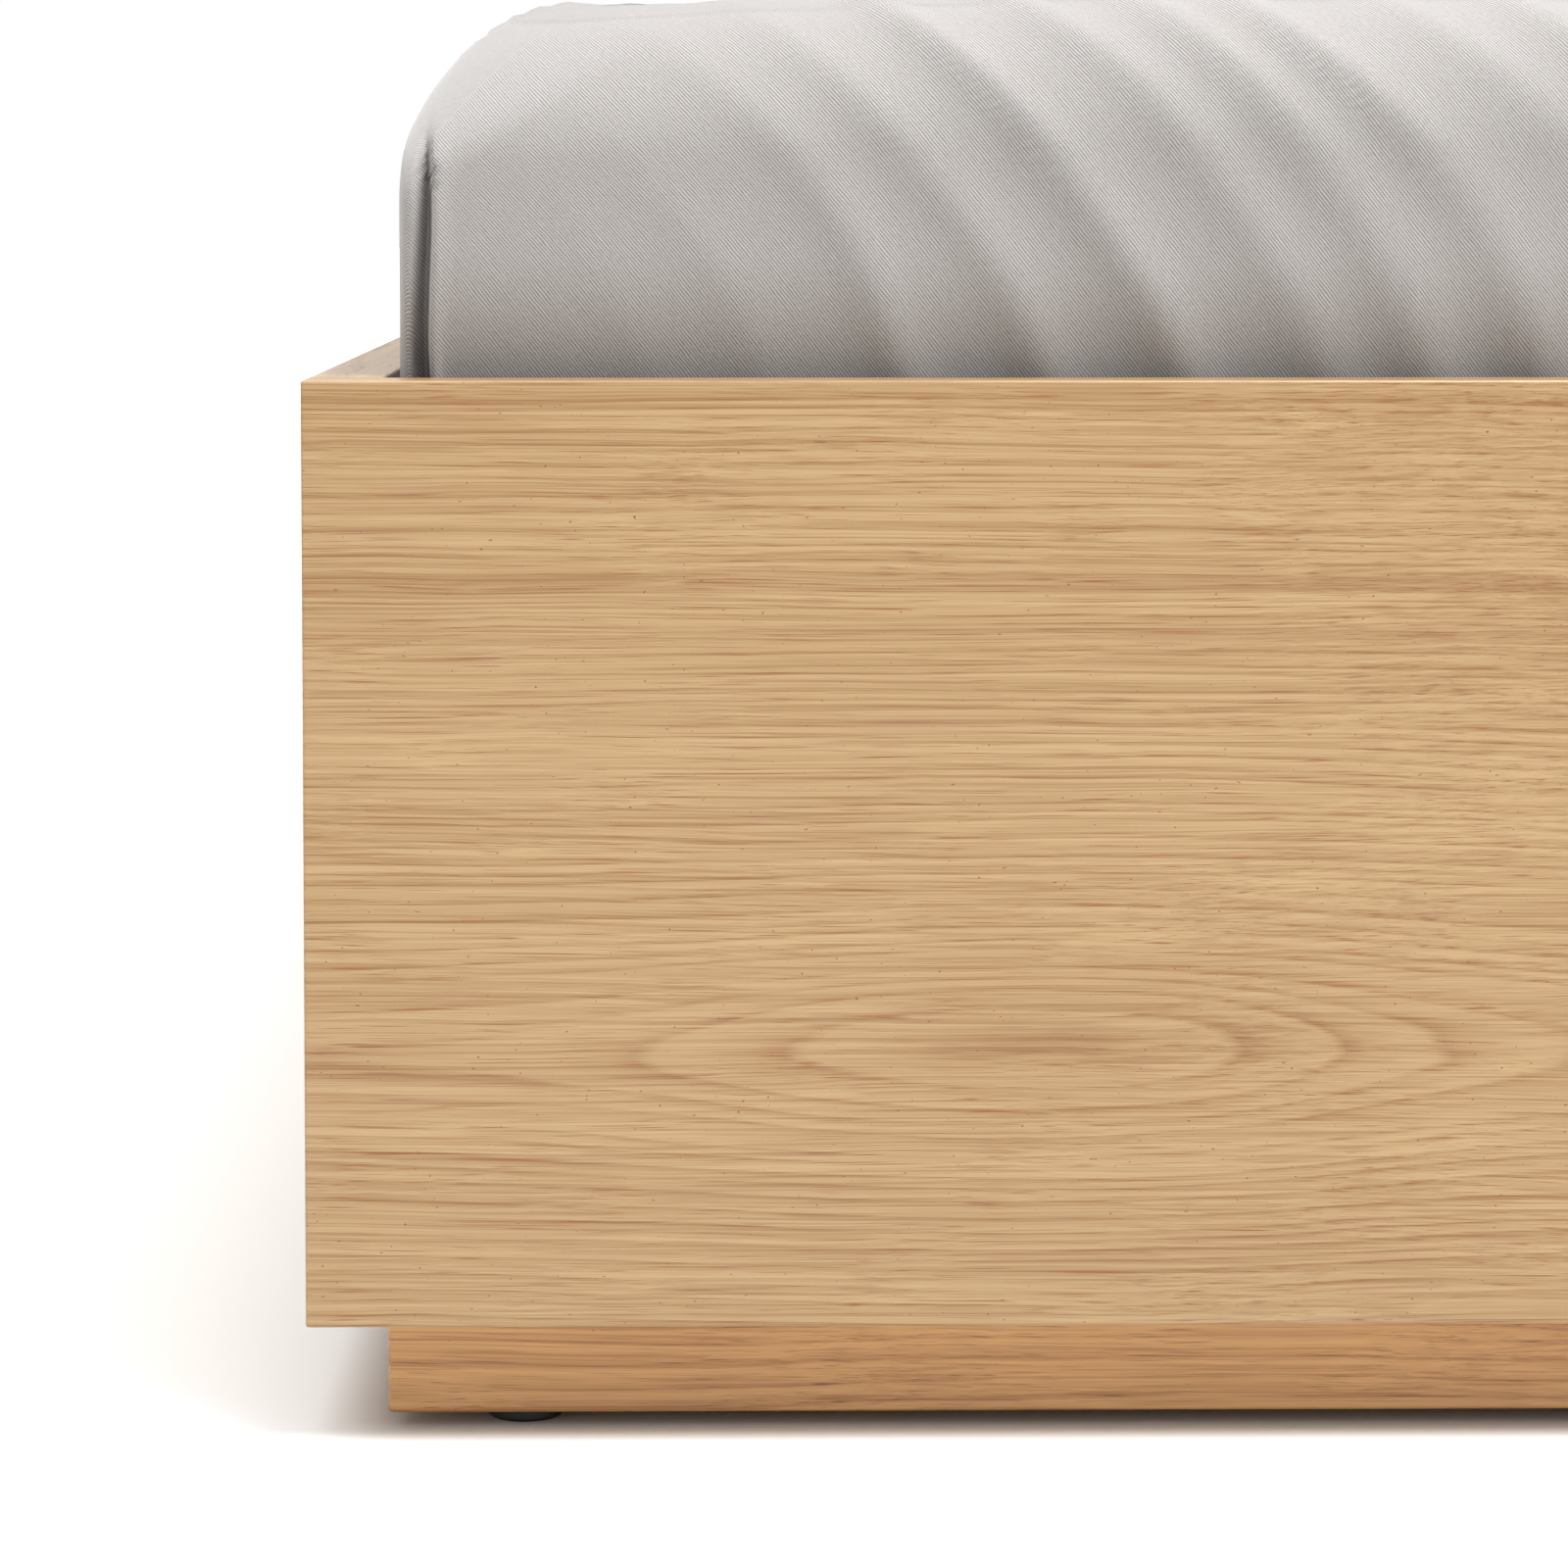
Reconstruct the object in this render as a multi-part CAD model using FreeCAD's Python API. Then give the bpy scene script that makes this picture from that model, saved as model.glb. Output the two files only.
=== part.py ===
"""Low platform bed for a 160 x 200 cm mattress, with four storage drawers under the slats.

An oak-veneered box of four boards stands on a set-back plinth frame. Inside it, two end boards, a middle
partition and a lengthwise spine carry the slats and the drawer slides. Two drawers open on each long side.
The mattress and its fitted sheet lie in the box.

Millimetres. +Z is up, X runs across the bed, Y along it. The foot of the bed is at -Y. The origin is on the
floor, under the middle of the bed.
"""

import FreeCAD
import Part

import os

# Mattress and the room round it
MATTRESS_W = 1600.0
MATTRESS_L = 2000.0
MATTRESS_H = 220.0
MATTRESS_GAP = 5.0
MATTRESS_CORNER_R = 70.0
MATTRESS_EDGE_R = 55.0
SHEET_T = 2.0
SHEET_TUCK = 180.0
PADDING_T = 18.0  # quilting and foam round the spring core, whose springs are mostly air

# Outer boards
PANEL_T = 25.0
FRAME_TOP = 350.0
ARRIS_R = 1.0

# Plinth frame and its feet
FLOOR_GAP = 5.0
PLINTH_H = 35.0
PLINTH_T = 38.0
PLINTH_ARRIS_R = 1.4
FOOT_R = 13.0
FOOT_EDGE = 1.0
STEM_R = 4.0
STEM_L = 20.0
FOOT_FROM_SIDE = 70.0
SIDE_FOOT_Y = 330.0
SPINE_FOOT_Y = 500.0
PARTITION_FOOT_X = 400.0

# Boards inside
BOARD_T = 18.0
LAP_CLEARANCE = 0.1
LEDGER_T = 25.0
LEDGER_H = 30.0

# Slats
SLAT_COUNT = 12
SLAT_W = 100.0
SLAT_T = 18.0
SLAT_END_GAP = 2.0
SLAT_FIRST_GAP = 15.0
SLAT_EDGE_R = 2.0
MATTRESS_SINK = 90.0  # how far the slats lie below the top of the frame

# Drawers
FINGER_GAP = 20.0
FRONT_T = 22.0
FRONT_GAP = 3.0
FRONT_BEVEL = 10.0
BOX_SIDE_T = 15.0
BOX_BOTTOM_T = 8.0
BOX_CLEAR_BELOW = 10.0
BOX_H = 135.0
GROOVE_DEPTH = 6.0
GROOVE_UP = 6.0
BOX_L = 700.0

# Telescopic slides, three nested channels of steel
SLIDE_L = 700.0
SLIDE_SPACE = 13.0
SLIDE_Z = 110.0
OUTER_CHANNEL = {"web_at": 0.0, "lips_to": 9.5, "height": 45.0, "wall": 1.5}
MIDDLE_CHANNEL = {"web_at": 4.0, "lips_to": 11.0, "height": 38.0, "wall": 1.2}
INNER_CHANNEL = {"web_at": 13.0, "lips_to": 6.5, "height": 29.0, "wall": 1.2}

# Corner brackets and screws
BRACKET_LEG = 60.0
BRACKET_H = 70.0
BRACKET_T = 2.5
BRACKET_UP = 10.0
BRACKET_SCREW_FROM_CORNER = 39.0
BRACKET_SCREW_SPACING = 35.0
SCREW_HEAD_R = 4.5
SCREW_SHANK_R = 2.2
SCREW_HEAD_H = 2.3
BRACKET_SCREW_L = 20.0
SLAT_SCREW_L = 36.0
LEDGER_SCREW_L = 42.0
END_BOARD_SCREW_L = 34.0
LEDGER_SCREWS = 6
LEDGER_SCREW_UP = 12.0
END_BOARD_SCREWS = 6
END_BOARD_SCREW_DOWN = 30.0
SLAT_SCREW_INSET = 12.0

# Worked out from the sizes above
INNER_X = MATTRESS_W / 2 + MATTRESS_GAP
INNER_Y = MATTRESS_L / 2 + MATTRESS_GAP
OUTER_X = INNER_X + PANEL_T
OUTER_Y = INNER_Y + PANEL_T
PANEL_Z = FLOOR_GAP + PLINTH_H
SLAT_TOP = FRAME_TOP - MATTRESS_SINK
BEARING_Z = SLAT_TOP - SLAT_T
RAIL_Z = BEARING_Z - LEDGER_H
END_FACE_Y = INNER_Y - BOARD_T
PLINTH_INNER_X = INNER_X - PLINTH_T
PLINTH_INNER_Y = INNER_Y - PLINTH_T
LAP_Z = (FLOOR_GAP + BEARING_Z) / 2
FRONT_TOP = RAIL_Z - FINGER_GAP
FRONT_BACK_X = OUTER_X - FRONT_T
BOX_Z = PANEL_Z + BOX_CLEAR_BELOW
BOX_BACK_X = FRONT_BACK_X - BOX_L
BOTTOM_Z = BOX_Z + GROOVE_UP
BAY_MIN = BOARD_T / 2
BAY_MID = (BAY_MIN + END_FACE_Y) / 2
BOX_HALF_W = (END_FACE_Y - BAY_MIN) / 2 - SLIDE_SPACE

made = {}


def block(x0, x1, y0, y1, z0, z1):
    """A box between two values on each axis, given in either order."""
    low = FreeCAD.Vector(min(x0, x1), min(y0, y1), min(z0, z1))
    return Part.makeBox(abs(x1 - x0), abs(y1 - y0), abs(z1 - z0), low)


def runs_along(edge, axis):
    """True for a straight edge that lies along a unit axis."""
    ends = [v.Point for v in edge.Vertexes]
    return len(ends) == 2 and abs((ends[1] - ends[0]).normalize().dot(axis)) > 0.999


def eased(board, radius, axis=None):
    """The board with its edges rounded, or only those along one axis."""
    edges = [e for e in board.Edges if axis is None or runs_along(e, axis)]
    return board.makeFillet(radius, edges)


X_AXIS = FreeCAD.Vector(1, 0, 0)
Y_AXIS = FreeCAD.Vector(0, 1, 0)
Z_AXIS = FreeCAD.Vector(0, 0, 1)


def outer_boards():
    """End panels run the full width, and the side rails butt against their backs."""
    for name, end in (("foot_panel", -1), ("head_panel", 1)):
        board = block(-OUTER_X, OUTER_X, end * INNER_Y, end * OUTER_Y, PANEL_Z, FRAME_TOP)
        made[name] = eased(board, ARRIS_R)
    for name, side in (("left_side_rail", -1), ("right_side_rail", 1)):
        board = block(side * INNER_X, side * OUTER_X, -INNER_Y, INNER_Y, RAIL_Z, FRAME_TOP)
        made[name] = eased(board, ARRIS_R, Y_AXIS)


def plinth_frame():
    """Four battens, flush with the inner faces of the outer boards, so that they stand back by a board."""
    for name, end in (("foot_plinth", -1), ("head_plinth", 1)):
        batten = block(-INNER_X, INNER_X, end * PLINTH_INNER_Y, end * INNER_Y, FLOOR_GAP, PANEL_Z)
        made[name] = eased(batten, PLINTH_ARRIS_R)
    for name, side in (("left_plinth", -1), ("right_plinth", 1)):
        batten = block(
            side * PLINTH_INNER_X, side * INNER_X, -PLINTH_INNER_Y, PLINTH_INNER_Y, FLOOR_GAP, PANEL_Z
        )
        made[name] = eased(batten, PLINTH_ARRIS_R, Y_AXIS)


def carcass():
    """End boards stand on the plinth. Partition and spine stand on their own feet and cross in a half lap."""
    for name, end in (("foot_end_board", -1), ("head_end_board", 1)):
        made[name] = block(-INNER_X, INNER_X, end * END_FACE_Y, end * INNER_Y, PANEL_Z, BEARING_Z)
    half = BOARD_T / 2
    slot = half + LAP_CLEARANCE

    partition = block(-PLINTH_INNER_X, PLINTH_INNER_X, -half, half, FLOOR_GAP, BEARING_Z)
    for side in (-1, 1):
        edge = block(side * PLINTH_INNER_X, side * INNER_X, -half, half, PANEL_Z, RAIL_Z)
        ledger_notch = block(
            side * (INNER_X - LEDGER_T), side * PLINTH_INNER_X, -half, half, RAIL_Z, BEARING_Z
        )
        edge = edge.fuse(ledger_notch)
        partition = partition.fuse(edge)
    partition = partition.cut(block(-slot, slot, -half, half, LAP_Z, BEARING_Z))
    made["middle_partition"] = partition.removeSplitter()

    spine = block(-half, half, -END_FACE_Y, END_FACE_Y, PANEL_Z, BEARING_Z)
    spine = spine.fuse(block(-half, half, -PLINTH_INNER_Y, PLINTH_INNER_Y, FLOOR_GAP, PANEL_Z))
    spine = spine.cut(block(-half, half, -slot, slot, FLOOR_GAP, LAP_Z))
    made["centre_spine"] = spine.removeSplitter()


def slats_and_ledgers():
    """Ledgers screwed inside the side rails hold the ends of twelve slats. The spine holds their middles."""
    for name, side in (("left_slat_ledger", -1), ("right_slat_ledger", 1)):
        made[name] = block(
            side * (INNER_X - LEDGER_T), side * INNER_X, -END_FACE_Y, END_FACE_Y, RAIL_Z, BEARING_Z
        )
    for number, y in enumerate(slat_places(), start=1):
        reach = INNER_X - SLAT_END_GAP
        slat = block(-reach, reach, y - SLAT_W / 2, y + SLAT_W / 2, BEARING_Z, SLAT_TOP)
        made[f"slat_{number:02d}"] = eased(slat, SLAT_EDGE_R, X_AXIS)


def slat_places():
    """Centre lines of the slats, evenly spaced from the foot to the head."""
    first = -INNER_Y + SLAT_FIRST_GAP + SLAT_W / 2
    pitch = -2 * first / (SLAT_COUNT - 1)
    return [first + pitch * i for i in range(SLAT_COUNT)]


def foot_places():
    """Where the levelling feet stand: under the plinth frame, the spine and the partition."""
    end_y = INNER_Y - PLINTH_T / 2
    corner_x = OUTER_X - FOOT_FROM_SIDE
    places = [(x, y) for y in (-end_y, end_y) for x in (-corner_x, 0.0, corner_x)]
    side_x = INNER_X - PLINTH_T / 2
    places += [(x, y) for x in (-side_x, side_x) for y in (-SIDE_FOOT_Y, SIDE_FOOT_Y)]
    places += [(0.0, y) for y in (-SPINE_FOOT_Y, SPINE_FOOT_Y)]
    places += [(x, 0.0) for x in (-PARTITION_FOOT_X, PARTITION_FOOT_X)]
    return places


def levelling_feet():
    """Round nylon pads with a chamfered lower rim."""
    pads = []
    for x, y in foot_places():
        pad = Part.makeCylinder(FOOT_R, FLOOR_GAP, FreeCAD.Vector(x, y, 0))
        lower_rim = [e for e in pad.Edges if e.BoundBox.ZMax < FOOT_EDGE]
        pads.append(pad.makeChamfer(FOOT_EDGE, lower_rim))
    made["levelling_feet"] = Part.makeCompound(pads)


def corner_brackets():
    """Steel angles in the four inside corners, above the slats."""
    bottom = SLAT_TOP + BRACKET_UP
    top = bottom + BRACKET_H
    brackets = []
    for side in (-1, 1):
        for end in (-1, 1):
            x0, y0 = side * INNER_X, end * INNER_Y
            x1, y1 = side * (INNER_X - BRACKET_LEG), end * (INNER_Y - BRACKET_LEG)
            on_rail = block(x0, side * (INNER_X - BRACKET_T), y0, y1, bottom, top)
            on_panel = block(x0, x1, y0, end * (INNER_Y - BRACKET_T), bottom, top)
            brackets.append(on_rail.fuse(on_panel).removeSplitter())
    made["corner_brackets"] = Part.makeCompound(brackets)


def screw(head_at, direction, length):
    """A countersunk wood screw. Its flat head is at head_at, and its shank runs along direction."""
    head = Part.makeCone(SCREW_HEAD_R, SCREW_SHANK_R, SCREW_HEAD_H, head_at, direction)
    shank = Part.makeCylinder(SCREW_SHANK_R, length, head_at, direction)
    return head.fuse(shank).removeSplitter()


def bracket_screws():
    """Two screws from each corner bracket into the side rail, and two into the end panel."""
    screws = []
    middle_z = SLAT_TOP + BRACKET_UP + BRACKET_H / 2
    for side in (-1, 1):
        for end in (-1, 1):
            for z in (middle_z - BRACKET_SCREW_SPACING / 2, middle_z + BRACKET_SCREW_SPACING / 2):
                on_rail = FreeCAD.Vector(
                    side * (INNER_X - BRACKET_T), end * (INNER_Y - BRACKET_SCREW_FROM_CORNER), z
                )
                on_panel = FreeCAD.Vector(
                    side * (INNER_X - BRACKET_SCREW_FROM_CORNER), end * (INNER_Y - BRACKET_T), z
                )
                screws.append(screw(on_rail, X_AXIS * side, BRACKET_SCREW_L))
                screws.append(screw(on_panel, Y_AXIS * end, BRACKET_SCREW_L))
    return screws


def slat_screws():
    """One screw at each end of each slat, down into the ledger."""
    x = INNER_X - SLAT_SCREW_INSET
    places = [FreeCAD.Vector(side * x, y, SLAT_TOP) for side in (-1, 1) for y in slat_places()]
    return [screw(place, -Z_AXIS, SLAT_SCREW_L) for place in places]


def evenly(count, half_length):
    """Middles of equal parts of a length that is centred on zero."""
    return [half_length * ((2 * i + 1) / count - 1) for i in range(count)]


def board_screws():
    """Screws through the ledgers into the side rails, and through the end boards into the end panels."""
    screws = []
    for side in (-1, 1):
        for y in evenly(LEDGER_SCREWS, END_FACE_Y):
            place = FreeCAD.Vector(side * (INNER_X - LEDGER_T), y, RAIL_Z + LEDGER_SCREW_UP)
            screws.append(screw(place, X_AXIS * side, LEDGER_SCREW_L))
    for end in (-1, 1):
        for x in evenly(END_BOARD_SCREWS, INNER_X):
            place = FreeCAD.Vector(x, end * END_FACE_Y, BEARING_Z - END_BOARD_SCREW_DOWN)
            screws.append(screw(place, Y_AXIS * end, END_BOARD_SCREW_L))
    return screws


def frame_fasteners():
    """Every screw, and the levelling feet's threaded stems. Each lies in a hole of its own form."""
    stems = [Part.makeCylinder(STEM_R, STEM_L, FreeCAD.Vector(x, y, FLOOR_GAP)) for x, y in foot_places()]
    fasteners = bracket_screws() + slat_screws() + board_screws() + stems
    for name, shape in made.items():
        inside = [f for f in fasteners if f.BoundBox.intersect(shape.BoundBox)]
        if inside and name != "levelling_feet":
            made[name] = shape.cut(inside)
    made["frame_fasteners"] = Part.makeCompound(fasteners)


def channel(profile, wall_y, toward, side):
    """One slide member, a channel along X. It is measured from a face at wall_y, toward +Y or -Y."""
    half = profile["height"] / 2
    wall = profile["wall"]
    web = profile["web_at"]
    lips = profile["lips_to"]
    inward = 1 if lips > web else -1
    x0 = side * INNER_X
    x1 = side * (INNER_X - SLIDE_L)

    def strip(u0, u1, z0, z1):
        return block(x0, x1, wall_y + toward * u0, wall_y + toward * u1, SLIDE_Z + z0, SLIDE_Z + z1)

    shape = strip(web, web + inward * wall, -half, half)
    shape = shape.fuse(strip(web, lips, half - wall, half))
    shape = shape.fuse(strip(web, lips, -half, -half + wall))
    return shape.removeSplitter()


def finger_bevel(side, near, far):
    """What is planed off the front's top edge, on its back, so that fingers can hook behind it."""
    past = FRONT_BEVEL + 1
    corner = FreeCAD.Vector(side * (FRONT_BACK_X - 1), near, FRONT_TOP + 1)
    along_top = corner + X_AXIS * side * (past + 1)
    down_back = corner - Z_AXIS * (past + 1)
    wedge = Part.Face(Part.makePolygon([corner, along_top, down_back, corner]))
    return wedge.extrude(FreeCAD.Vector(0, far - near, 0))


def drawer_box(name, side, end):
    """One drawer: a front, two sides, a back and a bottom held in grooves."""
    bay_mid = end * BAY_MID
    near = end * FRONT_GAP / 2
    far = end * (INNER_Y - FRONT_GAP)
    box_top = BOX_Z + BOX_H

    front = block(side * FRONT_BACK_X, side * OUTER_X, near, far, PANEL_Z, FRONT_TOP)
    front = eased(front, ARRIS_R, Y_AXIS)
    front = front.cut(finger_bevel(side, near, far))

    left_y = bay_mid - BOX_HALF_W
    right_y = bay_mid + BOX_HALF_W
    bottom = block(
        side * BOX_BACK_X,
        side * (FRONT_BACK_X + GROOVE_DEPTH),
        left_y + BOX_SIDE_T - GROOVE_DEPTH,
        right_y - BOX_SIDE_T + GROOVE_DEPTH,
        BOTTOM_Z,
        BOTTOM_Z + BOX_BOTTOM_T,
    )
    low_side = block(
        side * BOX_BACK_X, side * FRONT_BACK_X, left_y, left_y + BOX_SIDE_T, BOX_Z, box_top
    )
    high_side = block(
        side * BOX_BACK_X, side * FRONT_BACK_X, right_y, right_y - BOX_SIDE_T, BOX_Z, box_top
    )
    back = block(
        side * BOX_BACK_X,
        side * (BOX_BACK_X + BOX_SIDE_T),
        left_y + BOX_SIDE_T,
        right_y - BOX_SIDE_T,
        BOTTOM_Z + BOX_BOTTOM_T,
        box_top,
    )
    made[f"{name}_front"] = front.cut(bottom)
    made[f"{name}_foot_side"] = low_side.cut(bottom)
    made[f"{name}_head_side"] = high_side.cut(bottom)
    made[f"{name}_back"] = back
    made[f"{name}_bottom"] = bottom


def drawers():
    """Four drawers, and the three members of the eight slides that carry them."""
    cabinet_members = []
    for side_name, side in (("left", -1), ("right", 1)):
        for end_name, end in (("foot", -1), ("head", 1)):
            name = f"{side_name}_{end_name}_drawer"
            drawer_box(name, side, end)
            walls = ((end * BAY_MIN, end), (end * END_FACE_Y, -end))
            cabinet_members += [channel(OUTER_CHANNEL, y, toward, side) for y, toward in walls]
            middle = [channel(MIDDLE_CHANNEL, y, toward, side) for y, toward in walls]
            inner = [channel(INNER_CHANNEL, y, toward, side) for y, toward in walls]
            made[f"{name}_slide_middle"] = Part.makeCompound(middle)
            made[f"{name}_slide_inner"] = Part.makeCompound(inner)
    made["slide_cabinet_members"] = Part.makeCompound(cabinet_members)


def soft_block(inset):
    """The mattress's rounded form, set in by inset all round from the outside of the sheet."""
    x = MATTRESS_W / 2 - inset
    y = MATTRESS_L / 2 - inset
    body = block(-x, x, -y, y, SLAT_TOP + inset, SLAT_TOP + MATTRESS_H - inset)
    body = eased(body, MATTRESS_CORNER_R - inset, Z_AXIS)
    rims = [e for e in body.Edges if e.BoundBox.ZLength < 1e-3]
    return body.makeFillet(MATTRESS_EDGE_R - inset, rims)


def mattress_and_sheet():
    """A sprung mattress, and the fitted sheet that wraps its top and sides and tucks under its edge."""
    mattress = soft_block(SHEET_T)
    sheet = soft_block(0.0).cut(mattress)
    open_x = MATTRESS_W / 2 - SHEET_TUCK
    open_y = MATTRESS_L / 2 - SHEET_TUCK
    sheet = sheet.cut(block(-open_x, open_x, -open_y, open_y, SLAT_TOP - 1, SLAT_TOP + SHEET_T))
    made["fitted_sheet"] = sheet

    wall = SHEET_T + PADDING_T
    core_x = MATTRESS_W / 2 - wall
    core_y = MATTRESS_L / 2 - wall
    core = block(-core_x, core_x, -core_y, core_y, SLAT_TOP + wall, SLAT_TOP + MATTRESS_H - wall)
    made["mattress"] = mattress.cut(eased(core, MATTRESS_CORNER_R - wall, Z_AXIS))


def main():
    os.makedirs("parts", exist_ok=True)
    outer_boards()
    plinth_frame()
    carcass()
    slats_and_ledgers()
    levelling_feet()
    corner_brackets()
    frame_fasteners()
    drawers()
    mattress_and_sheet()
    for name, shape in made.items():
        if not shape.isValid() or not shape.Solids:
            raise ValueError(f"{name} is not a valid solid")
        shape.exportStep(f"parts/{name}.step")
    print(f"{len(made)} nodes, {sum(len(s.Solids) for s in made.values())} solids")


main()
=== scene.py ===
# %% [markdown]
# # A low oak bed with drawers, and a mattress in a fitted sheet
#
# The boards, drawers, slides, slats and feet come from the CAD model, which this script leaves as it is.
# What Blender adds is what CAD is poor at: the sheet, stretched over the mattress and folded at its
# corners, the tufted mattress under it, and the wood, steel, nylon and cloth that everything is made of.
#
# Everything is in metres. X runs across the bed, Y from its foot to its head, and Z is up.

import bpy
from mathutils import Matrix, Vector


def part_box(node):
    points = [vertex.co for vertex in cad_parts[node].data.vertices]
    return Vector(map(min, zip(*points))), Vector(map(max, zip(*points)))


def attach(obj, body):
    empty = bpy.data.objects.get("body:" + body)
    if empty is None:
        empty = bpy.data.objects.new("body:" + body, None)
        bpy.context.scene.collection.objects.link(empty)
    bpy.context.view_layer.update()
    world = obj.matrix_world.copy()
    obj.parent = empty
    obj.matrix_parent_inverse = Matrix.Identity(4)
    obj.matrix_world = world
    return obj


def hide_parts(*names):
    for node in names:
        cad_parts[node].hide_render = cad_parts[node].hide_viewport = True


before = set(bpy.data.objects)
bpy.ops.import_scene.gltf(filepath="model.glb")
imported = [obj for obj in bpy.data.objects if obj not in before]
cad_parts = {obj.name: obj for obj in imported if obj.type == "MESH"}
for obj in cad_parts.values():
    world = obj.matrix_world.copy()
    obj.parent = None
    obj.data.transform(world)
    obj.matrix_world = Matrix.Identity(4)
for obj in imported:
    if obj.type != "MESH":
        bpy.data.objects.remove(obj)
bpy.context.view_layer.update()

import bmesh
import bpy
import math
from mathutils import Vector, noise

MM = 0.001

# %% [markdown]
# ## The camera
#
# The view is of the bed's foot, near its left corner, from a little above the boards. A long lens keeps
# upright edges nearly upright. The bed lies well below the lens's own axis, and most of that comes from
# shifting the lens, as an architect would do it. A full shift would push the bed off centre in every
# other view, so a slight tilt does the rest.

# %% Camera
CAMERA_AT = (-0.6916, -2.5084, 0.4118)
CAMERA_TILT_DOWN = math.radians(3.126)
CAMERA_PAN = math.radians(-0.699)
CAMERA_LENS_MM = 104.95
LENS_SHIFT_DOWN = 0.22  # of the frame's width

camera = bpy.data.objects.new("camera", bpy.data.cameras.new("camera"))
bpy.context.scene.collection.objects.link(camera)
camera.location = CAMERA_AT
camera.rotation_euler = (math.pi / 2 - CAMERA_TILT_DOWN, 0, CAMERA_PAN)
camera.data.lens = CAMERA_LENS_MM
camera.data.shift_y = -LENS_SHIFT_DOWN
bpy.context.scene.camera = camera
print("camera lens, mm:", CAMERA_LENS_MM, "height, m:", CAMERA_AT[2])

# %% [markdown]
# ## Helpers
#
# A finish is a small network of nodes. One function adds a node: its settings are named, and its inputs
# are either plain values or other nodes' outputs. Colours are written as a painter would look them up, as
# hex, and the sizes of patterns as a maker would measure them, in millimetres.

# %% Colours and sizes
def linear(hex_colour):
    """An sRGB hex colour as the linear RGBA that shaders use."""
    parts = [int(hex_colour[i : i + 2], 16) / 255 for i in (1, 3, 5)]
    return [p / 12.92 if p <= 0.04045 else ((p + 0.055) / 1.055) ** 2.4 for p in parts] + [1.0]


def per_metre(*sizes_mm):
    """Texture scales for features of these sizes."""
    return tuple(1.0 / (size * MM) for size in sizes_mm)


# %% Nodes
def add(tree, kind, inputs=None, **settings):
    """Adds a node. inputs maps a socket's name or number to a value or to another node's output."""
    node = tree.nodes.new("ShaderNode" + kind)
    for name, value in settings.items():
        setattr(node, name, value)
    for name, value in (inputs or {}).items():
        if isinstance(value, bpy.types.NodeSocket):
            tree.links.new(value, node.inputs[name])
        else:
            node.inputs[name].default_value = value
    return node


def new_material(name):
    """An empty material, its node tree and its main shader."""
    material = bpy.data.materials.new(name)
    material.use_nodes = True
    return material, material.node_tree, material.node_tree.nodes["Principled BSDF"]


def cover(node_names, material):
    """Puts a material on CAD nodes, in every slot they have."""
    for name in node_names:
        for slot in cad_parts[name].material_slots:
            slot.material = material
    print(material.name, "on", len(node_names), "nodes")


# %% [markdown]
# ## Wood as a slice of a log
#
# The outer boards are oak veneer, sliced flat from the log and sealed with a satin lacquer. A tree grows
# one ring a year, so a flat slice shows long lines, closer together towards its edges. Where the log
# bulges towards the knife, the slice shows a closed eye of rings. So the wood is built as a log: rings
# round an axis that lies a little behind the board, moved by slow noise. Because the rings are in space,
# they run on round every edge. The lacquer is smooth enough to pale the wood where it is seen aslant, and
# too soft to mirror anything.
#
# Each size below is along the grain first, and then across it.

# %% Sizes in the wood
RING_MM = 3.8
LEAN_MM = (520, 1500, 1500)
LEAN_REACH_M = (0, 0.016, 0.008)  # the whole log leans
WAVE_MM = (210, 32, 32)
WAVE_REACH_M = (0, 0.007, 0.007)  # and its grain wanders
BULGE_M = 0.014
BULGE_LENGTH_M = 0.12
SPELLS_PER_M = 90.0  # spells of good years grow wide rings, and spells of poor years narrow ones
SPELL_REACH_M = 0.009
NOISE_MIDDLE = (0.5, 0.5, 0.5)


def stretched_noise(tree, vector, lengths_mm, detail=2.0, roughness=0.5, output=0):
    """Noise with features of these lengths, from 0 to 1."""
    at = add(tree, "Mapping", {"Vector": vector, "Scale": per_metre(*lengths_mm)}).outputs[0]
    settings = {"Vector": at, "Scale": 1.0, "Detail": detail, "Roughness": roughness}
    return add(tree, "TexNoise", settings).outputs[output]


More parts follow.
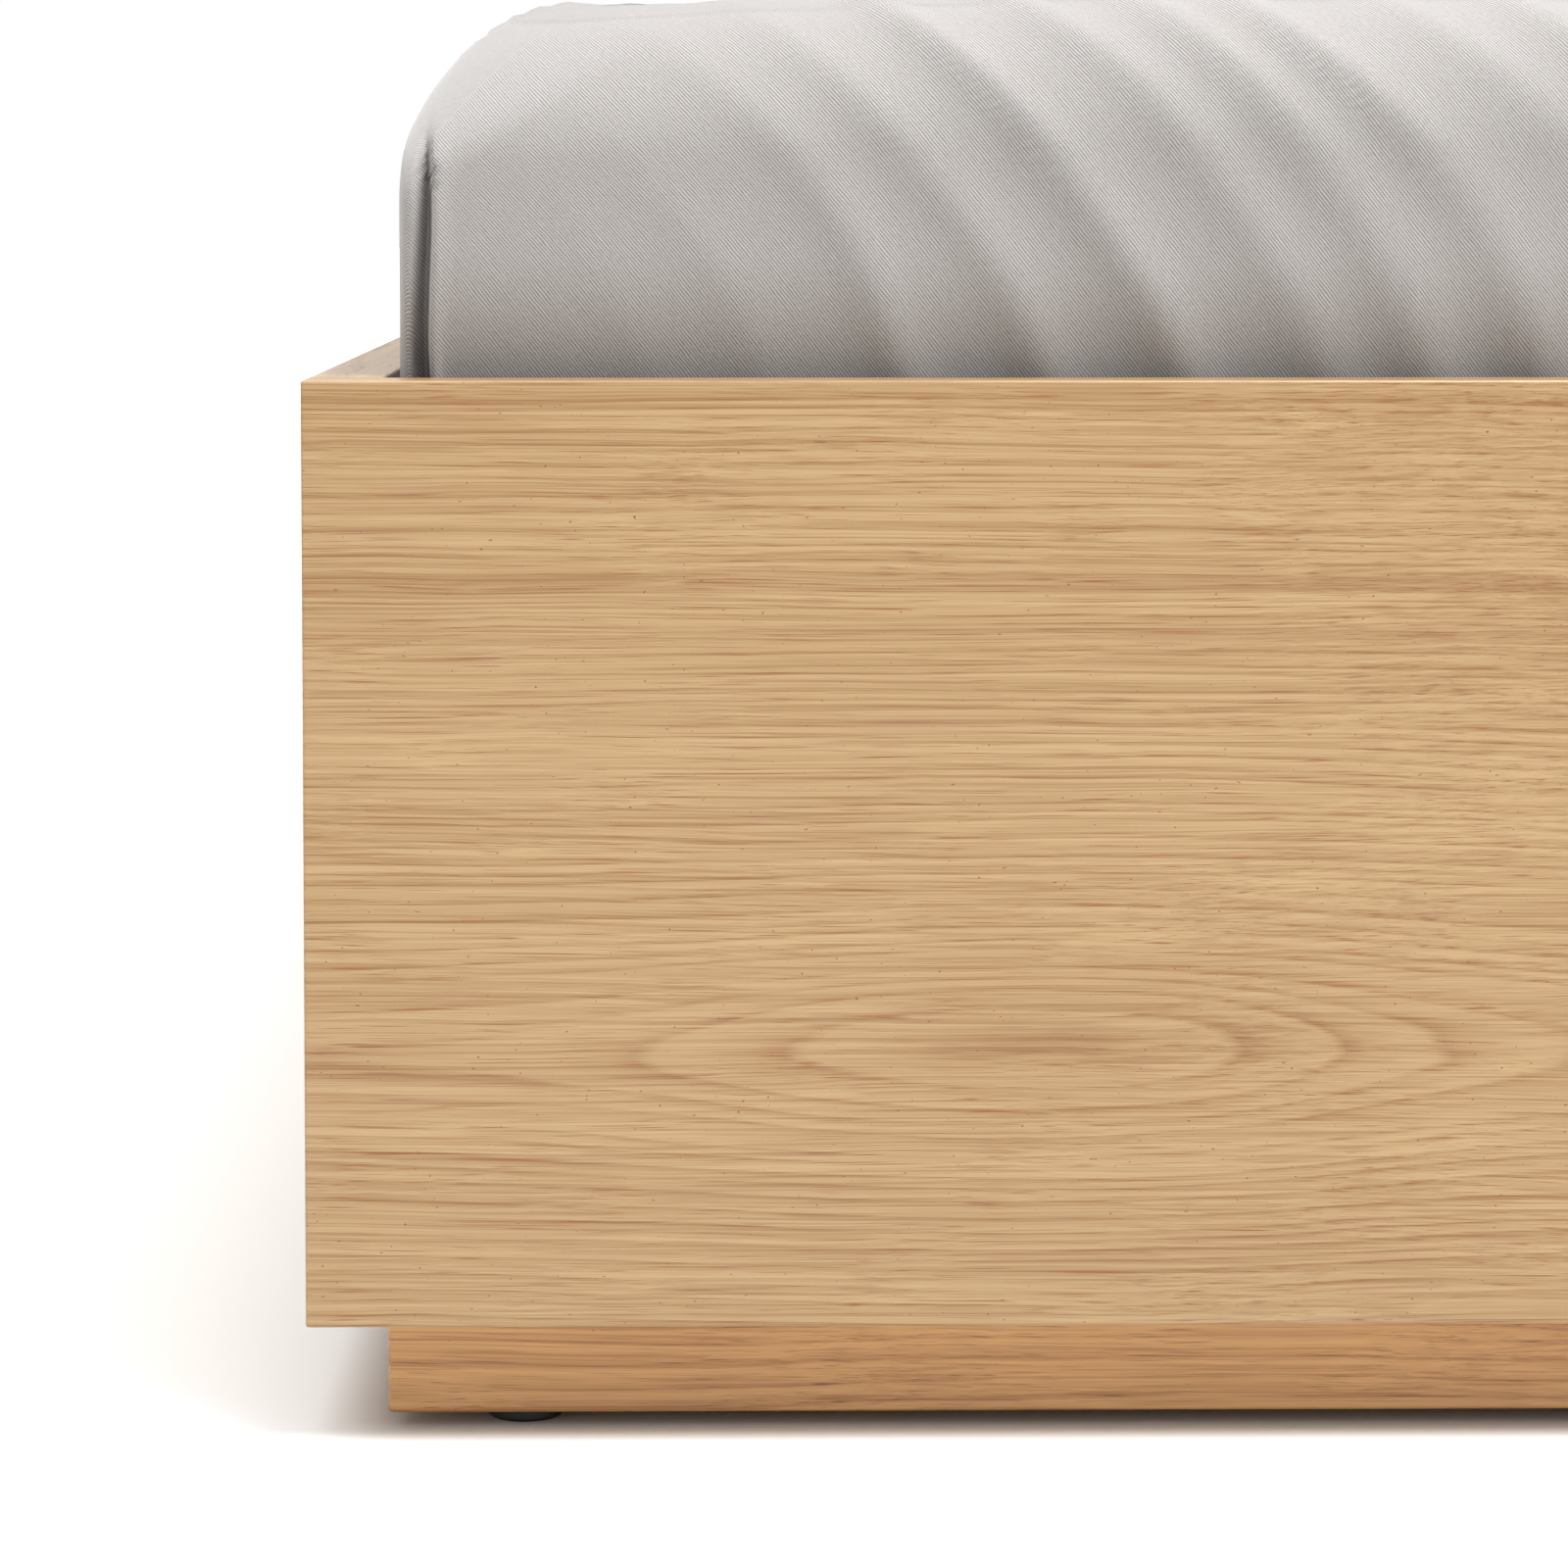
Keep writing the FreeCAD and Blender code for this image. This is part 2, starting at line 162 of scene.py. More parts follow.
# %% Rings round the log's axis
def log_rings(tree, centred, ring_mm):
    """The wandering grain's coordinates, how far through its year each point grew, and in which year."""
    moved = centred
    for lengths_mm, detail, reach in ((LEAN_MM, 1.0, LEAN_REACH_M), (WAVE_MM, 2.0, WAVE_REACH_M)):
        drift = stretched_noise(tree, centred, lengths_mm, detail, output="Color")
        drift = add(tree, "VectorMath", {0: drift, 1: NOISE_MIDDLE}, operation="SUBTRACT").outputs[0]
        drift = add(tree, "VectorMath", {0: drift, 1: reach}, operation="MULTIPLY").outputs[0]
        moved = add(tree, "VectorMath", {0: moved, 1: drift}, operation="ADD").outputs[0]

    # Along the board, the bulge swells and fades as a bell curve does. It is widest beside the heart
    along = add(tree, "SeparateXYZ", {0: centred}).outputs[0]
    share = add(tree, "Math", {0: along, 1: BULGE_LENGTH_M}, operation="DIVIDE").outputs[0]
    square = add(tree, "Math", {0: share, 1: share}, operation="MULTIPLY").outputs[0]
    negative = add(tree, "Math", {0: square, 1: -1.0}, operation="MULTIPLY").outputs[0]
    swell = add(tree, "Math", {0: negative}, operation="EXPONENT").outputs[0]
    bulge = add(tree, "Math", {0: swell, 1: BULGE_M}, operation="MULTIPLY").outputs[0]
    bulge = add(tree, "CombineXYZ", {"Y": bulge}).outputs[0]

    from_axis = add(tree, "VectorMath", {0: moved, 1: bulge}, operation="ADD").outputs[0]
    across = add(tree, "VectorMath", {0: from_axis, 1: (0, 1, 1)}, operation="MULTIPLY").outputs[0]
    radius = add(tree, "VectorMath", {0: across}, operation="LENGTH").outputs["Value"]
    settings = {"W": radius, "Scale": SPELLS_PER_M, "Detail": 1.0}
    growth = add(tree, "TexNoise", settings, noise_dimensions="1D").outputs[0]
    settings = {0: growth, 1: SPELL_REACH_M, 2: radius}
    radius = add(tree, "Math", settings, operation="MULTIPLY_ADD").outputs[0]
    rings = add(tree, "Math", {0: radius, 1: ring_mm * MM}, operation="DIVIDE").outputs[0]
    through_year = add(tree, "Math", {0: rings}, operation="FRACT").outputs[0]
    year = add(tree, "Math", {0: rings}, operation="FLOOR").outputs[0]
    return moved, through_year, year


# %% [markdown]
# ### How dark each spot is
#
# Spring wood is porous and darker, and pales into the hard summer wood. The rings are clear in some
# patches and faint in others. Over them lie each year's own tone, the fibres, thin streaks between them,
# a few long fine lines, and slow blotches. A ramp gives the ring its profile, and the rest is added up by
# share.

# %% Shares of the tone
SPRING_TO_SUMMER = ((0.0, 0.10), (0.14, 1.0), (0.40, 0.45), (0.75, 0.08), (1.0, 0.10))
PATCH_MM = (160, 9, 9)
PATCH_CLEAR = {"From Min": 0.35, "From Max": 0.60, "To Min": 0.25}
FIBRE_MM = (280, 1.7, 1.7)
STREAK_MM = (120, 0.45, 0.45)
LINE_MM = (340, 0.8, 0.8)
LINE_CUT = {"From Min": 0.56, "From Max": 0.66}
BLOTCH_MM = (420, 40, 40)
RING_SHARE = 0.42
YEAR_SHARE = 0.13
FIBRE_SHARE = 0.85
STREAK_SHARE = 0.95
LINE_SHARE = 0.27
BLOTCH_SHARE = 0.50
TONE_RANGE = {"From Min": 1.00, "From Max": 2.05}


# %% Spring wood
def spring_wood(tree, through_year):
    """How porous and dark the wood is, by how far through its year it grew."""
    ramp = add(tree, "ValToRGB", {"Fac": through_year})
    elements = ramp.color_ramp.elements
    while len(elements) < len(SPRING_TO_SUMMER):
        elements.new(1.0)
    for element, (place, grey) in zip(elements, SPRING_TO_SUMMER):
        element.position = place
        element.color = (grey, grey, grey, 1)
    return ramp.outputs[0]


# %% Tone of the wood
def wood_tone(tree, centred, moved, through_year, year, ring_share):
    """How dark the wood is, its spring wood and its fibres, each from 0 to 1."""
    spring = spring_wood(tree, through_year)
    clear = stretched_noise(tree, moved, PATCH_MM, 1.0)
    clear = add(tree, "MapRange", {"Value": clear, **PATCH_CLEAR}).outputs[0]
    year_tone = add(tree, "TexWhiteNoise", {"W": year}, noise_dimensions="1D").outputs["Value"]
    fibre = stretched_noise(tree, moved, FIBRE_MM, 3.0, 0.6)
    streak = stretched_noise(tree, moved, STREAK_MM, 2.0, 0.6)
    line = stretched_noise(tree, moved, LINE_MM, 0.0)
    line = add(tree, "MapRange", {"Value": line, **LINE_CUT}).outputs[0]
    blotch = stretched_noise(tree, centred, BLOTCH_MM, 3.0)
    tone = add(tree, "Math", {0: spring, 1: clear}, operation="MULTIPLY").outputs[0]
    tone = add(tree, "Math", {0: tone, 1: ring_share}, operation="MULTIPLY").outputs[0]
    for source, share in (
        (year_tone, YEAR_SHARE),
        (fibre, FIBRE_SHARE),
        (streak, STREAK_SHARE),
        (line, LINE_SHARE),
        (blotch, BLOTCH_SHARE),
    ):
        tone = add(tree, "Math", {0: source, 1: share, 2: tone}, operation="MULTIPLY_ADD").outputs[0]
    tone = add(tree, "MapRange", {"Value": tone, **TONE_RANGE}).outputs[0]
    return tone, spring, fibre


# %% [markdown]
# ### Pores and lacquer
#
# Oak's pores are long open tubes in the spring wood. A flat cut shows them as short dark dashes, with a
# stray dark speck here and there. The lacquer fills them only in part, so they are dented and a little
# rougher.

# %% Pores
PORE_MM = (40, 0.30, 0.30)
PORES_CROWD = 0.11  # how much more of them the spring wood has
PORE_CUT = {"From Min": 0.63, "From Max": 0.83}
SPECK_MM = (1.6, 0.7, 0.7)
SPECK_CUT = {"From Min": 0.86, "From Max": 0.89}


def pore_marks(tree, centred, moved, spring, pores):
    """Pores and specks, from 0 to pores."""
    dash = stretched_noise(tree, moved, PORE_MM, 1.0)
    crowd = {0: spring, 1: PORES_CROWD, 2: dash}
    dash = add(tree, "Math", crowd, operation="MULTIPLY_ADD").outputs[0]
    dash = add(tree, "MapRange", {"Value": dash, **PORE_CUT}).outputs[0]
    speck = stretched_noise(tree, centred, SPECK_MM, 0.0)
    speck = add(tree, "MapRange", {"Value": speck, **SPECK_CUT}).outputs[0]
    mark = add(tree, "Math", {0: dash, 1: speck}, operation="MAXIMUM").outputs[0]
    return add(tree, "Math", {0: mark, 1: pores}, operation="MULTIPLY").outputs[0]


# %% Wood
LACQUER_ROUGH = 0.3
LACQUER_IOR = 1.5
PORE_ROUGHER = 0.2
PORE_DENT_MM = 0.12
DENT_STRENGTH = 0.25


def wood(
    name,
    turn,
    heart,
    light,
    dark,
    pore,
    rough=LACQUER_ROUGH,
    ring_mm=RING_MM,
    ring_share=RING_SHARE,
    pores=1.0,
):
    """Timber of three colours. turn brings its length to X, and the log's axis then runs by heart."""
    material, tree, shader = new_material(name)
    place = add(tree, "TexCoord").outputs["Object"]
    turned = add(tree, "Mapping", {"Vector": place, "Rotation": turn}).outputs[0]
    centred = add(tree, "VectorMath", {0: turned, 1: heart}, operation="SUBTRACT").outputs[0]
    moved, through_year, year = log_rings(tree, centred, ring_mm)
    tone, spring, fibre = wood_tone(tree, centred, moved, through_year, year, ring_share)
    colours = {"Factor": tone, 6: linear(light), 7: linear(dark)}
    colour = add(tree, "Mix", colours, data_type="RGBA").outputs[2]
    marks = pore_marks(tree, centred, moved, spring, pores)
    colours = {"Factor": marks, 6: colour, 7: linear(pore)}
    colour = add(tree, "Mix", colours, data_type="RGBA").outputs[2]
    tree.links.new(colour, shader.inputs["Base Color"])
    roughness = {"Value": marks, "To Min": rough, "To Max": rough + PORE_ROUGHER}
    tree.links.new(add(tree, "MapRange", roughness).outputs[0], shader.inputs["Roughness"])
    relief = add(tree, "Math", {0: marks, 1: -1.0, 2: fibre}, operation="MULTIPLY_ADD").outputs[0]
    dents = {"Height": relief, "Strength": DENT_STRENGTH, "Distance": PORE_DENT_MM * MM}
    tree.links.new(add(tree, "Bump", dents).outputs[0], shader.inputs["Normal"])
    shader.inputs["IOR"].default_value = LACQUER_IOR
    return material


# %% [markdown]
# ### Which way each board was cut
#
# The grain runs along each board. A board that lies along Y is turned so that its length comes to X, and
# the two drawer fronts on one side share a material, as veneer is laid across both from one sheet.

# %% Oak on the end panels
ALONG_X = (0, 0, 0)
ALONG_Y = (0, 0, -math.pi / 2)
OAK = {"light": "#A68B63", "dark": "#7D572E", "pore": "#7A4924"}
HEART_BEHIND_M = 0.034  # how far behind a board's face the log's axis lies
HEART_UP = 0.29  # of the foot panel's height
FOOT_HEART_X = -0.59
HEAD_HEART_X = 0.6
HEAD_HEART_HIGHER = 0.05

foot_low, foot_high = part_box("foot_panel")
heart_z = foot_low.z + HEART_UP * (foot_high.z - foot_low.z)
foot_heart = (FOOT_HEART_X, foot_low.y + HEART_BEHIND_M, heart_z)
cover(["foot_panel"], wood("oak_veneer_foot", ALONG_X, foot_heart, **OAK))

head_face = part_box("head_panel")[1].y
head_heart = (HEAD_HEART_X, head_face - HEART_BEHIND_M, heart_z + HEAD_HEART_HIGHER)
cover(["head_panel"], wood("oak_veneer_head", ALONG_X, head_heart, **OAK))

# %% Oak on the sides
RAIL_HEART_Y = 0.4
RAIL_HEART_Z = 0.22
FRONTS_HEART_Y = -0.3
FRONTS_HEART_Z = 0.10

for side_name, side in (("left", -1), ("right", 1)):
    rail_low, rail_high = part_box(f"{side_name}_side_rail")
    face = max(abs(rail_low.x), abs(rail_high.x))
    # After the turn, what was X is along -Y
    inward = -side * (face - HEART_BEHIND_M)
    rail_heart = (RAIL_HEART_Y * side, inward, RAIL_HEART_Z)
    cover([f"{side_name}_side_rail"], wood(f"oak_veneer_{side_name}_rail", ALONG_Y, rail_heart, **OAK))
    fronts_heart = (FRONTS_HEART_Y * side, inward, FRONTS_HEART_Z)
    front_oak = wood(f"oak_veneer_{side_name}_drawers", ALONG_Y, fronts_heart, **OAK)
    cover([f"{side_name}_{end}_drawer_front" for end in ("foot", "head")], front_oak)

# %% [markdown]
# ### The plinth
#
# The plinth is solid oak, not veneer, with wider rings and a shade redder. It stands back in the boards'
# shadow.

# %% Oak on the plinth
PLINTH_OAK = {"light": "#C09158", "dark": "#8E5B2A", "pore": "#744923"}
PLINTH_RINGS = {"ring_mm": 5.0, "ring_share": 0.5}
for name, turn, heart in (
    ("foot_plinth", ALONG_X, (0.2, -0.93, -0.06)),
    ("head_plinth", ALONG_X, (0.9, 0.93, -0.06)),
    ("left_plinth", ALONG_Y, (0.5, 0.72, -0.05)),
    ("right_plinth", ALONG_Y, (0.1, -0.72, -0.05)),
):
    cover([name], wood(f"solid_oak_{name}", turn, heart, **PLINTH_RINGS, **PLINTH_OAK))

# %% [markdown]
# ### Boards that are seldom seen
#
# Inside, oak-faced board carries the slats and the slides. The slats and their ledgers are planed pine,
# left bare: pale and yellow, rough to the light, with wide rings and no pores.

# %% Carcass and slats
BOARD = {"light": "#A2845F", "dark": "#896944", "pore": "#704D2C"}
PINE = {"light": "#AF9469", "dark": "#9B7343", "pore": "#8C673B", "rough": 0.62, "pores": 0.0}
LEDGER_RING_MM = 4.0
SLAT_RING_MM = 4.5
FLAT_ALONG_X = (math.pi / 2, 0, 0)
LOG_PITCH_M = 0.37  # along the log, from one slat to the next
LOG_ABOVE_M = 0.035
LOG_ASIDE_M = 0.03
ASIDE_TURN = 2.4  # radians from one slat to the next

cover(["foot_end_board", "middle_partition"], wood("oak_board_x", ALONG_X, (0, 0.1, 0.3), **BOARD))
cover(["head_end_board"], wood("oak_board_head", ALONG_X, (0.7, 0.9, 0.0), **BOARD))
cover(["centre_spine"], wood("oak_board_y", ALONG_Y, (0, 0.1, 0.3), **BOARD))
ledger_pine = wood("planed_pine_ledgers", ALONG_Y, (0, 0.1, 0.16), ring_mm=LEDGER_RING_MM, **PINE)
cover(["left_slat_ledger", "right_slat_ledger"], ledger_pine)

slats = sorted(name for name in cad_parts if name.startswith("slat_"))
for number, name in enumerate(slats):
    low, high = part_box(name)
    middle = (low + high) / 2
    # Each slat is sawn from its own place in the log. After the turn, Y is along Z and Z along -Y
    aside = LOG_ASIDE_M * math.sin(ASIDE_TURN * number)
    heart = (LOG_PITCH_M * number, -middle.z - LOG_ABOVE_M, middle.y + aside)
    cover([name], wood(f"planed_pine_{name}", FLAT_ALONG_X, heart, ring_mm=SLAT_RING_MM, **PINE))

# %% [markdown]
# ### Birch plywood
#
# The drawers' boxes are birch plywood. Its faces are plain birch. Its edges show the plies, glued with
# their grain crosswise, as pale and dark stripes. The stripes are drawn only where the surface doesn't
# look along the board's thickness, which its own normal tells.

# %% Plywood
PLY_MM = 1.35
PALE_PLY = "#A9987A"
DARK_PLY = "#7B5E38"
BIRCH = {"light": "#A59273", "dark": "#957C59", "pore": "#876D49"}
BIRCH_FINISH = {"rough": 0.48, "ring_mm": 7.0, "pores": 0.15}


def plywood(name, turn, heart, thickness_axis):
    """Birch plywood whose plies lie across thickness_axis, 0, 1 or 2 for X, Y or Z."""
    material = wood(name, turn, heart, **BIRCH_FINISH, **BIRCH)
    tree = material.node_tree
    base_colour = tree.nodes["Principled BSDF"].inputs["Base Color"]
    face_colour = base_colour.links[0].from_socket
    coordinates = add(tree, "TexCoord")
    depth = add(tree, "SeparateXYZ", {0: coordinates.outputs["Object"]}).outputs[thickness_axis]
    plies = add(tree, "Math", {0: depth, 1: 2 * PLY_MM * MM}, operation="DIVIDE").outputs[0]
    plies = add(tree, "Math", {0: plies}, operation="FRACT").outputs[0]
    is_dark = add(tree, "Math", {0: plies, 1: 0.5}, operation="GREATER_THAN").outputs[0]
    colours = {"Factor": is_dark, 6: linear(PALE_PLY), 7: linear(DARK_PLY)}
    edge_colour = add(tree, "Mix", colours, data_type="RGBA").outputs[2]
    toward = add(tree, "SeparateXYZ", {0: coordinates.outputs["Normal"]}).outputs[thickness_axis]
    toward = add(tree, "Math", {0: toward}, operation="ABSOLUTE").outputs[0]
    is_face = add(tree, "Math", {0: toward, 1: 0.5}, operation="GREATER_THAN").outputs[0]
    colours = {"Factor": is_face, 6: edge_colour, 7: face_colour}
    colour = add(tree, "Mix", colours, data_type="RGBA").outputs[2]
    tree.links.new(colour, base_colour)
    return material


# %% Drawer boxes
drawers = [f"{side}_{end}_drawer" for side in ("left", "right") for end in ("foot", "head")]
side_ply = plywood("birch_plywood_sides", ALONG_X, (0.2, 0.3, 0.4), 1)
back_ply = plywood("birch_plywood_backs", ALONG_Y, (0.1, 0.3, 0.4), 0)
bottom_ply = plywood("birch_plywood_bottoms", FLAT_ALONG_X, (0.0, 0.4, 0.35), 2)
cover([f"{name}_{part}_side" for name in drawers for part in ("foot", "head")], side_ply)
cover([f"{name}_back" for name in drawers], back_ply)
cover([f"{name}_bottom" for name in drawers], bottom_ply)

# %% [markdown]
# ## Steel and nylon
#
# The slides, brackets and screws are rolled steel with a bright zinc plating: blue-grey, with fine lines
# along the rolling direction and a faint bloom. Pressed parts lose the lines and keep a fine grain.

# %% Zinc-plated steel
ZINC_PALE = "#D5D8DB"
ZINC_DULL = "#B4B9BE"
BLOOM_MM = 16.7
ZINC_ROUGH = {"To Min": 0.26, "To Max": 0.48}
ROLLED_LINES_MM = (60, 0.5, 0.5)  # these two are drawn coarse enough to show
PRESSED_GRAIN_MM = (3, 3, 3)
SCRATCH_MM = 0.05


def zinc(name, grain_mm):
    """Bright zinc on steel. grain_mm has the grain's size along X, Y and Z."""
    material, tree, shader = new_material(name)
    place = add(tree, "TexCoord").outputs["Object"]
    lines = stretched_noise(tree, place, grain_mm, 3.0)
    bloom = {"Vector": place, "Scale": 1 / (BLOOM_MM * MM), "Detail": 4.0}
    bloom = add(tree, "TexNoise", bloom).outputs[0]
    colours = {"Factor": bloom, 6: linear(ZINC_PALE), 7: linear(ZINC_DULL)}
    tree.links.new(add(tree, "Mix", colours, data_type="RGBA").outputs[2], shader.inputs["Base Color"])
    shader.inputs["Metallic"].default_value = 1.0
    rough = add(tree, "MapRange", {"Value": lines, **ZINC_ROUGH}).outputs[0]
    tree.links.new(rough, shader.inputs["Roughness"])
    scratches = {"Height": lines, "Strength": 0.12, "Distance": SCRATCH_MM * MM}
    tree.links.new(add(tree, "Bump", scratches).outputs[0], shader.inputs["Normal"])
    return material


moving_members = [f"{name}_slide_{part}" for name in drawers for part in ("middle", "inner")]
cover(["slide_cabinet_members"] + moving_members, zinc("zinc_plated_rolled_steel", ROLLED_LINES_MM))
cover(["corner_brackets", "frame_fasteners"], zinc("zinc_plated_pressed_steel", PRESSED_GRAIN_MM))

# %% [markdown]
# The levelling feet are black nylon. The mould was spark-eroded, which leaves a fine even grain and an
# almost matt black.

# %% Moulded nylon
SPARK_MM = 0.5  # coarser than the real grain, which wouldn't show
SPARK_DEPTH_MM = 0.05
NYLON_IOR = 1.53
nylon, tree, shader = new_material("moulded_black_nylon")
place = add(tree, "TexCoord").outputs["Object"]
spark = add(tree, "TexNoise", {"Vector": place, "Scale": 1 / (SPARK_MM * MM), "Detail": 2.0}).outputs[0]
colours = {"Factor": spark, 6: linear("#070708"), 7: linear("#131315")}
tree.links.new(add(tree, "Mix", colours, data_type="RGBA").outputs[2], shader.inputs["Base Color"])
grain = {"Height": spark, "Strength": 0.3, "Distance": SPARK_DEPTH_MM * MM}
tree.links.new(add(tree, "Bump", grain).outputs[0], shader.inputs["Normal"])
shader.inputs["Roughness"].default_value = 0.55
shader.inputs["IOR"].default_value = NYLON_IOR
cover(["levelling_feet"], nylon)

# %% [markdown]
# ## The fitted sheet
#
# A fitted sheet is one flat piece of cotton twill. It covers the top, turns down over the sides and is
# drawn in under the mattress by elastic. Where two sides meet there is too much cloth, and it folds into
# a pleat. Pulled tight from its corners, it also lies in long shallow folds that slant down and away from
# each corner.
#
# A cloth simulation would give folds of its own, in places of its own. Here each fold has a known place,
# so the sheet is formed directly. It starts as a flat grid. Its columns go round the bed and its rows go
# from the hem underneath, up the side and over to the middle of the top. Each point is then put on a
# rounded box whose corners are tight at the bottom and full at the top, where the mattress pushes out.

# %% Sizes of the sheet
sheet_low, sheet_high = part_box("fitted_sheet")
HALF_X = sheet_high.x
HALF_Y = sheet_high.y
TOP_Z = sheet_high.z
BASE_Z = sheet_low.z
SHEET_H = TOP_Z - BASE_Z
TUCK = 0.18
TOP_ROUND = 0.054
BASE_ROUND = 0.022
CLOTH_MM = 0.7

# Columns of the grid, by corner and side, from the left foot corner round. The foot has the finest folds
STRETCH_COLUMNS = (84, 300, 50, 70, 24, 60, 24, 70)
CROWDING = 0.55  # 0 spaces a side's columns evenly, and 1 crowds them all into its ends
TUCK_ROWS = 4
BASE_ROWS = 3
WALL_ROWS = 26
ROUND_ROWS = 26
TOP_ROWS = 10
TOP_ROW_GROWTH = 1.6
COLUMNS = sum(STRETCH_COLUMNS)
ROWS = TUCK_ROWS + BASE_ROWS + WALL_ROWS + ROUND_ROWS + TOP_ROWS
print("sheet grid", COLUMNS, "by", ROWS)


# %% Where a row lies
def row_profile(row):
    """A row's distance in from the side, its height, and how far it is up the cloth from the hem."""
    start = TUCK - BASE_ROUND
    if row <= TUCK_ROWS:
        run = start * row / TUCK_ROWS
        return TUCK - run, BASE_Z, run
    row -= TUCK_ROWS
    if row <= BASE_ROWS:
        turn = math.pi / 2 * row / BASE_ROWS
        inset = BASE_ROUND * (1 - math.sin(turn))
        return inset, BASE_Z + BASE_ROUND * (1 - math.cos(turn)), start + BASE_ROUND * turn
    start += BASE_ROUND * math.pi / 2
    row -= BASE_ROWS
    wall = SHEET_H - BASE_ROUND - TOP_ROUND
    if row <= WALL_ROWS:
        up = wall * row / WALL_ROWS
        return 0.0, BASE_Z + BASE_ROUND + up, start + up
    start += wall
    row -= WALL_ROWS
    if row <= ROUND_ROWS:
        turn = math.pi / 2 * row / ROUND_ROWS
        inset = TOP_ROUND * (1 - math.cos(turn))
        return inset, TOP_Z - TOP_ROUND * (1 - math.sin(turn)), start + TOP_ROUND * turn
    start += TOP_ROUND * math.pi / 2
    row -= ROUND_ROWS
    inset = TOP_ROUND + (HALF_X - TOP_ROUND) * (row / TOP_ROWS) ** TOP_ROW_GROWTH
    return inset, TOP_Z, start + inset - TOP_ROUND


# %% Where a column lies
def column_place(column):
    """Which stretch a column is in, counted from the left foot corner, and how far along it."""
    for number, count in enumerate(STRETCH_COLUMNS):
        if column <= count or number == len(STRETCH_COLUMNS) - 1:
            return number, column / count
        column -= count


def corner_centre(quarter, half_x, half_y, corner):
    """The middle of a rounded corner. The corners are counted from the left foot one, anticlockwise."""
    x = (half_x - corner) * (-1 if quarter % 4 in (0, 3) else 1)
    y = (half_y - corner) * (-1 if quarter % 4 in (0, 1) else 1)
    return Vector((x, y, 0))


def outline(number, along, inset, corner):
    """The point on a rounded rectangle, and the direction that it faces."""
    half_x = HALF_X - inset
    half_y = HALF_Y - inset
    corner = min(corner, half_x, half_y)
    quarter = number // 2
    start = corner_centre(quarter, half_x, half_y, corner)
    angle = math.pi + quarter * math.pi / 2
    if number % 2 == 0:
        angle += along * math.pi / 2
        facing = Vector((math.cos(angle), math.sin(angle), 0))
        return start + corner * facing, facing
    angle += math.pi / 2
    facing = Vector((round(math.cos(angle)), round(math.sin(angle)), 0))
    crowded = along - CROWDING * math.sin(2 * math.pi * along) / (2 * math.pi)
    end = corner_centre(quarter + 1, half_x, half_y, corner)
    return start.lerp(end, crowded) + corner * facing, facing


# %% [markdown]
# ### The folds
#
# A fold starts near the top edge, almost level, and steepens as it comes down, as cloth does when it is
# pulled sideways over an edge. Along the side, a fold's place is its start plus a run that dies away with
# depth. The folds lean away from the nearer corner, and are faint beside it and in the middle of a side.
# Each has its own size, place and sway, from noise that is the same in every run.

# %% Sizes of the folds
FOLD_SPACING = 0.044
FOLD_START = 0.017
FOLD_RUN = 0.130
FOLD_DEPTH_SCALE = 0.075
FOLD_HEIGHT = 0.0076
FOLD_WIDTH = 0.21  # this and the next two are shares of the spacing
FOLD_SHIFT = 0.20
FOLD_SWAY = 0.16
FOLD_SWAYS_PER_M = 14
FOLD_SIZE = 0.62
FOLD_SIZE_SPREAD = 0.38
FOLD_TAIL = 0.25
FOLD_FLOOR = 0.35  # what the cloth between folds sinks by, so that the whole stays level
NEAR_CORNER = (0.03, 0.20)
NEAR_MIDDLE = (0.55, 0.85)
MIDDLE_LOSS = 0.85
OVER_EDGE = (-0.07, 0.02)  # depths between which a fold comes over the top edge
PATCHES_ALONG_PER_M = 9  # patches in which the folds are stronger or weaker
PATCHES_DOWN_PER_M = 12
PATCH_STRENGTH = 0.75
PATCH_SPREAD = 0.5


# %% Folds
def smooth(low, high, value):
    """0 below low and 1 above high, with an S-curve between."""
    t = min(max((value - low) / (high - low), 0.0), 1.0)
    return t * t * (3 - 2 * t)


def scatter(number, seed):
    """A steady random value, about -1 to 1, for a fold's number. Any factors and offsets would do."""
    return noise.noise(Vector((number * 1.73 + 0.41, seed, 0.7))) * 1.6


def fold_height(from_corner, depth, seed):
    """How far the folds push the cloth out. depth is measured down from the top of the sheet."""
    run = FOLD_RUN * (1 - math.exp(-max(depth, 0.0) / FOLD_DEPTH_SCALE))
    place = (from_corner - run - FOLD_START) / FOLD_SPACING
    height = -FOLD_FLOOR
    for number in range(math.floor(place) - 1, math.floor(place) + 3):
        sway = FOLD_SWAY * noise.noise(Vector((depth * FOLD_SWAYS_PER_M, number * 3.1, seed)))
        off = (place - number - FOLD_SHIFT * scatter(number, seed) - sway) / FOLD_WIDTH
        size = FOLD_SIZE + FOLD_SIZE_SPREAD * scatter(number, seed + 5)
        height += size * math.exp(-(off**2) / (1 + FOLD_TAIL * off**2))
    strength = smooth(*NEAR_CORNER, from_corner) * (1 - MIDDLE_LOSS * smooth(*NEAR_MIDDLE, from_corner))
    patch = Vector((from_corner * PATCHES_ALONG_PER_M, depth * PATCHES_DOWN_PER_M, seed))
    patchy = PATCH_STRENGTH + PATCH_SPREAD * noise.noise(patch)
    return FOLD_HEIGHT * strength * smooth(*OVER_EDGE, depth) * patchy * height


# %% [markdown]
# ### The corner pleats
#
# At each corner the spare cloth is folded flat, towards the side of the bed. From the foot that reads as
# a narrow rolled lobe on the corner, a dark crease, and the crisp upright edge of the end's cloth beside
# it. All three run down from a pinch below the top edge, and the crease opens on its way.

